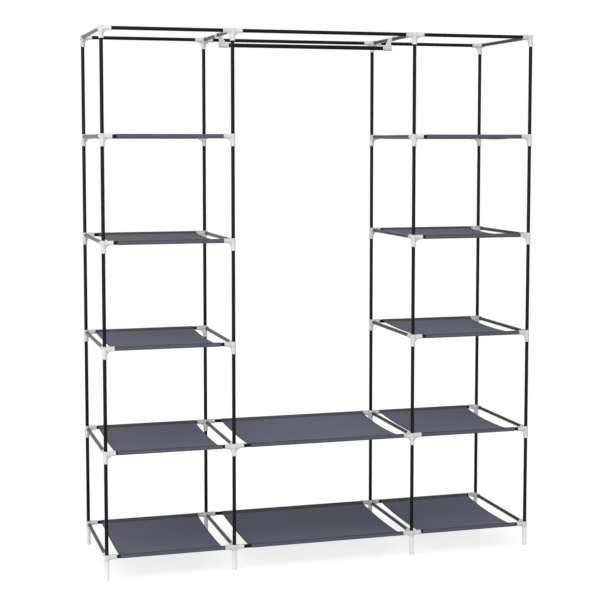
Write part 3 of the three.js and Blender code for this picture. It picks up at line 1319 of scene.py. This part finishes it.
    def sheet(self) -> Piece:
        """Builds the sheet on a grid: columns across the width and rows along the section.

        Each point of the section moves inwards, square to the section, as far as its column lies below the
        top ply, and then by the deck's sideways and downward shift.

        Returns:
            The sheet, still without thickness.
        """
        section, share = self.section()
        step = np.gradient(section, axis=0)
        inside = np.stack([step[:, 1], -step[:, 0]], axis=1)
        inside /= np.linalg.norm(inside, axis=1, keepdims=True)
        x, below = self.across_places()
        shift_x, shift_z = self.hang(x[None, :], share[:, None])
        y = section[:, 0][:, None] + inside[:, 0][:, None] * below[None, :]
        z = self.level + section[:, 1][:, None] + inside[:, 1][:, None] * below[None, :]
        points = np.stack(np.broadcast_arrays(x[None, :] + shift_x, y, z + shift_z), axis=-1)
        rows, columns = points.shape[:2]
        mesh = bpy.data.meshes.new(f"{self.name}_cloth")
        mesh.from_pydata(points.reshape(-1, 3).tolist(), [], grid_faces(rows, columns, False, False).tolist())
        self.lay_out(mesh, points)
        self.mark_backing(mesh, section, x)
        mesh.polygons.foreach_set("use_smooth", np.ones(len(mesh.polygons), bool))
        return linked(mesh.name, mesh)

    def mark_backing(self, mesh: Mesh, section: np.ndarray, x: np.ndarray) -> None:
        """Writes how dark each point of the sheet is made, from 0 on the open deck to 1 on a seam.

        Round a tube it has the casing's level, partly the black tube behind the cloth and partly painted
        shade on the casing's front, and rises with the height to the crown's, a painted dark line on the
        casing's top where the cloth presses on the tube. Within a bell curve of each seam it rises to the
        seam's, for doubled cloth and a painted crease shadow, and along the side edges it is at least the
        hem's.

        Args:
            mesh: The sheet's mesh, with a row of points for each point of the section.
            section: Points of the section as (y, up).
            x: Places of the columns.
        """
        inwards = np.minimum(section[:, 0] - self.layout.front, self.layout.back - section[:, 0])
        # Seam's bell curve: doubled cloth and a painted crease shadow
        bell = np.exp(-(((inwards - self.seam) / self.seam_spread) ** 2))
        # Crown: a painted dark line on the casing's top, over the darker tube behind the cloth
        crown = np.clip((section[:, 1] - self.crown_start) / (self.crown_full - self.crown_start), 0, 1)
        casing = self.casing_backing + (self.crown_backing - self.casing_backing) * crown
        casing = np.where(inwards < self.seam, casing, 0.0)
        along = casing + (self.seam_backing - casing) * bell
        from_edge = np.minimum(x - self.left, self.right - x)
        hem = np.where(from_edge < self.hem, self.hem_backing, 0.0)
        backing_and_shade_level = np.maximum(along[:, None], hem[None, :])
        mark = mesh.attributes.new(BACKING_AND_PAINTED_SHADE, "FLOAT", "POINT")
        mark.data.foreach_set("value", backing_and_shade_level.astype(np.float32).ravel())

    def lay_out(self, mesh: Mesh, points: np.ndarray) -> None:
        """Gives the sheet a map in metres: the lengths along its middle row and middle column.

        Args:
            mesh: The sheet's mesh.
            points: Its points, by row and column.
        """
        rows, columns = points.shape[:2]
        along = np.linalg.norm(np.diff(points[:, columns // 2], axis=0), axis=1)
        across = np.linalg.norm(np.diff(points[rows // 2], axis=0), axis=1)
        v = np.concatenate([[0.0], np.cumsum(along)])
        u = np.concatenate([[0.0], np.cumsum(across)]) + self.left
        flat = np.stack(np.broadcast_arrays(u[None, :], v[:, None] + self.level), axis=-1).reshape(-1, 2)
        corner = np.zeros(len(mesh.loops), np.int32)
        mesh.loops.foreach_get("vertex_index", corner)
        cloth_map = mesh.uv_layers.new(name="cloth")
        cloth_map.data.foreach_set("uv", flat[corner].astype(np.float32).ravel())
        self.flat_size = (float(u[-1] - u[0]), float(v[-1]))

    def on_deck(self, x: np.ndarray, share: np.ndarray) -> np.ndarray:
        """Points on the deck's upper face.

        Args:
            x: Places along the width.
            share: Shares of the span from the front seam to the back one.

        Returns:
            One point a row.
        """
        shift_x, shift_z = self.hang(x, share)
        y = self.layout.front + self.seam + self.span * share
        return np.stack([x + shift_x, y, self.level + shift_z + self.thickness / 2], axis=1)

    def stitches(self) -> Shape:
        """Thread of the seams and hems: each stitch is a six-sided bead, tapered at its ends, on the deck.

        Returns:
            All the stitches of the shelf.
        """
        starts, ends = [], []
        count = int((self.width - self.stitch_pitch) / self.stitch_pitch)
        first = self.left + (self.width - (count - 1) * self.stitch_pitch - self.stitch) / 2
        x = first + np.arange(count) * self.stitch_pitch
        for share in (np.zeros(count), np.ones(count)):
            starts.append(self.on_deck(x, share))
            ends.append(self.on_deck(x + self.stitch, share))
        rows = int(self.span / self.stitch_pitch)
        share = (np.arange(rows) + self.hem_start) * self.stitch_pitch / self.span
        for place in (self.left + self.hem_stitch, self.right - self.hem_stitch):
            line = np.full(rows, place)
            starts.append(self.on_deck(line, share))
            ends.append(self.on_deck(line, share + self.stitch / self.span))
        return beads(np.concatenate(starts), np.concatenate(ends), self.thread_radius)

    def build(self, cloth: Material, thread: Material) -> list[Piece]:
        """Args:
            cloth: Material of the sheet.
            thread: Material of the stitching.

        Returns:
            The sheet and its stitching.
        """
        sheet = self.sheet()
        wall = sheet.modifiers.new("cloth thickness", "SOLIDIFY")
        wall.thickness = self.thickness
        wall.offset = 0.0
        stitching = self.stitches().piece(f"{self.name}_stitching")
        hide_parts(self.name)
        dress(sheet, GreyCloth.slot, cloth, self.name)
        dress(stitching, Thread.slot, thread, self.name)
        return [sheet, stitching]


@dataclass
class ClothShelves:
    """The twelve cloth shelves: those of each bay from the floor up."""

    layout: Layout
    left: tuple[Drape, ...] = (
        Drape(11, Edge(6.0, 2.0, 4.5, 1.2), Edge(6.0, 1.0, 5.5, 1.2)),
        Drape(12, Edge(6.0, 2.0, 5.5, 0.0), Edge(6.0, 2.0, 5.5, 0.5)),
        Drape(13, Edge(3.5, 1.5, 5.0, 0.5), Edge(3.5, 1.0, 5.5, 0.5)),
        Drape(14, Edge(2.0, 1.0, 4.5, 0.5), Edge(2.0, 1.0, 4.0, 1.0), sag=3.5),
        Drape(15, Edge(1.0, 0.5, 2.5, 1.0), Edge(1.0, 0.5, 2.5, 1.0), sag=2.5),
    )
    right: tuple[Drape, ...] = (
        Drape(21, Edge(5.5, 1.0, 6.5, 1.0), Edge(6.0, 0.0, 7.5, 1.5)),
        Drape(22, Edge(5.0, 1.0, 7.0, 1.0), Edge(5.0, 1.0, 8.5, 2.0)),
        Drape(23, Edge(3.0, 1.0, 6.0, 1.0), Edge(3.5, 2.0, 7.0, 1.5)),
        Drape(24, Edge(2.0, 1.0, 5.0, 1.0), Edge(2.5, 1.0, 6.0, 1.0), sag=3.5),
        Drape(25, Edge(1.0, 0.5, 2.5, 1.0), Edge(2.5, 1.0, 6.5, 1.5), sag=2.5),
    )
    middle: tuple[Drape, ...] = (
        Drape(31, Edge(7.0, 1.0, 4.5, 0.5), Edge(6.0, 1.0, 5.5, 0.5), sag=5.0),
        Drape(32, Edge(4.0, 2.0, 6.5, 1.5), Edge(4.0, 2.0, 8.0, 2.0), sag=5.0),
    )

    def build(self) -> list[Piece]:
        """Builds every shelf.

        Returns:
            The sheets and their stitching.
        """
        cloth = GreyCloth().material()
        thread = Thread().material()
        made = []
        for bay, drapes in (Bay.LEFT, self.left), (Bay.RIGHT, self.right), (Bay.MIDDLE, self.middle):
            for number, drape in enumerate(drapes, 1):
                made += ClothShelf(bay, number, drape, self.layout).build(cloth, thread)
        return made


# Studio


@dataclass(frozen=True)
class Lamp:
    """Soft rectangular lamp of a width and height, at a place and turned to a point."""

    name: str
    place: Point
    aim: Point
    size: Span
    watts: float

    def build(self) -> None:
        """Builds the lamp."""
        data = bpy.data.lights.new(self.name, "AREA")
        data.shape = "RECTANGLE"
        data.size, data.size_y = self.size
        data.energy = self.watts
        made = linked(self.name, data)
        made.location = self.place
        made.rotation_euler = (Vector(self.place) - Vector(self.aim)).to_track_quat("Z", "Y").to_euler()


@dataclass
class Studio:
    """Pale floor, white surroundings, soft lamps and the camera.

    One lamp is large and high in front, to the left, one is narrow and upright behind the camera, and one is
    low at the left. The camera's yaw, to the right, and its pitch, downwards, are in degrees.
    """

    lamps: tuple[Lamp, ...] = (
        Lamp("high", (-1.2, -1.9, 4.1), (0.0, 0.0, 0.8), (3.8, 3.8), 52.0),
        Lamp("front", (-1.8, -6.2, 1.9), (0.0, 0.0, 1.0), (1.8, 3.2), 44.0),
        Lamp("low", (-3.4, -2.2, 1.1), (-0.2, 0.0, 0.3), (3.0, 2.0), 26.0),
    )
    floor_size: float = 60.0
    floor_colour: Colour = paint(244, 244, 244)
    floor_seen: Colour = paint(155, 155, 155)
    floor_lift: float = 0.8
    floor_roughness: float = 0.9
    floor_reflectance: float = 0.1
    ambient: float = 0.6
    background: float = 1.0
    camera_place: Point = (-1.3782, -4.6546, 1.396)
    camera_yaw: float = 16.232
    camera_pitch: float = 4.612
    camera_end: float = 200.0
    focal_pixels: float = 1416.7
    picture_pixels: float = 600.0
    sensor: float = 36.0
    shift: float = -0.07

    def seen(self, tree: bpy.types.NodeTree) -> Socket:
        """Value that is 1 for rays of the camera, reflections and transmission, and 0 for other light.

        Args:
            tree: Tree of a material or of the world.

        Returns:
            The value.
        """
        path = add_node(tree, "LightPath", {}).outputs
        total = path["Is Camera Ray"]
        for name in ("Is Glossy Ray", "Is Transmission Ray"):
            total = add_node(tree, "Math", {0: total, 1: path[name]}, operation="MAXIMUM").outputs[0]
        return total

    def surroundings(self) -> None:
        """White where it is seen, and a plain level of light everywhere else."""
        world = bpy.data.worlds.new("surroundings")
        bpy.context.scene.world = world
        world.use_nodes = True
        tree = world.node_tree
        tree.nodes.clear()
        light, white = (
            add_node(tree, "Background", {"Color": WHITE, "Strength": strength}).outputs[0]
            for strength in (self.ambient, self.background)
        )
        mix = add_node(tree, "MixShader", {0: self.seen(tree), 1: light, 2: white})
        add_node(tree, "OutputWorld", {"Surface": mix.outputs[0]})

    def floor(self) -> None:
        """Wide pale floor. Where it is seen, most of its light is its own: white, with a soft shadow."""
        half = self.floor_size / 2
        mesh = bpy.data.meshes.new("floor")
        corners = [(-half, -half, 0.0), (half, -half, 0.0), (half, half, 0.0), (-half, half, 0.0)]
        mesh.from_pydata(corners, [], [(0, 1, 2, 3)])
        surface = {
            "Roughness": self.floor_roughness,
            "Specular IOR Level": self.floor_reflectance,
            "Emission Color": WHITE,
        }
        shader = Shader("pale floor", surface)
        seen = self.seen(shader.tree)
        colour = shader.mixed(seen, self.floor_colour, self.floor_seen)
        lift = add_node(shader.tree, "Math", {0: seen, 1: self.floor_lift}, operation="MULTIPLY").outputs[0]
        feed(shader.surface, {"Base Color": colour, "Emission Strength": lift})
        mesh.materials.append(shader.material)
        linked("floor", mesh)

    def camera(self) -> None:
        """Camera at the viewing angle that the photograph was taken from."""
        data = bpy.data.cameras.new("camera")
        data.sensor_width = self.sensor
        data.lens = self.focal_pixels / self.picture_pixels * self.sensor
        data.shift_y = self.shift
        data.clip_end = self.camera_end
        made = linked("camera", data)
        made.location = self.camera_place
        made.rotation_euler = (math.radians(90 - self.camera_pitch), 0.0, -math.radians(self.camera_yaw))
        bpy.context.scene.camera = made

    def build(self) -> None:
        """Builds the studio."""
        bpy.context.scene.view_settings.view_transform = "Standard"
        self.camera()
        self.surroundings()
        self.floor()
        for lamp in self.lamps:
            lamp.build()


def report(title: str, pieces: list[Piece]) -> None:
    """Logs how many pieces a sub-assembly has, and each by name with its number of faces.

    Args:
        title: Name of the sub-assembly.
        pieces: Its pieces.
    """
    log.info("%s: %d pieces", title, len(pieces))
    for piece in pieces:
        log.info("  %s: %d faces", piece.name, len(piece.data.polygons))


def main() -> None:
    """Builds the wardrobe's looks around the frame, in order."""
    logging.basicConfig(level=logging.INFO, format="%(message)s")
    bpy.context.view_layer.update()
    layout = Layout.from_frame()
    Studio().build()
    tubes = Tubes(layout)
    report("tubes", tubes.build())
    report("connectors", Connectors(layout).build())
    report("feet", Feet(layout).build())
    report("hanging rail", HangingRail(layout, tubes).build())
    report("cloth shelves", ClothShelves(layout).build())


if __name__ == "__main__":
    main()
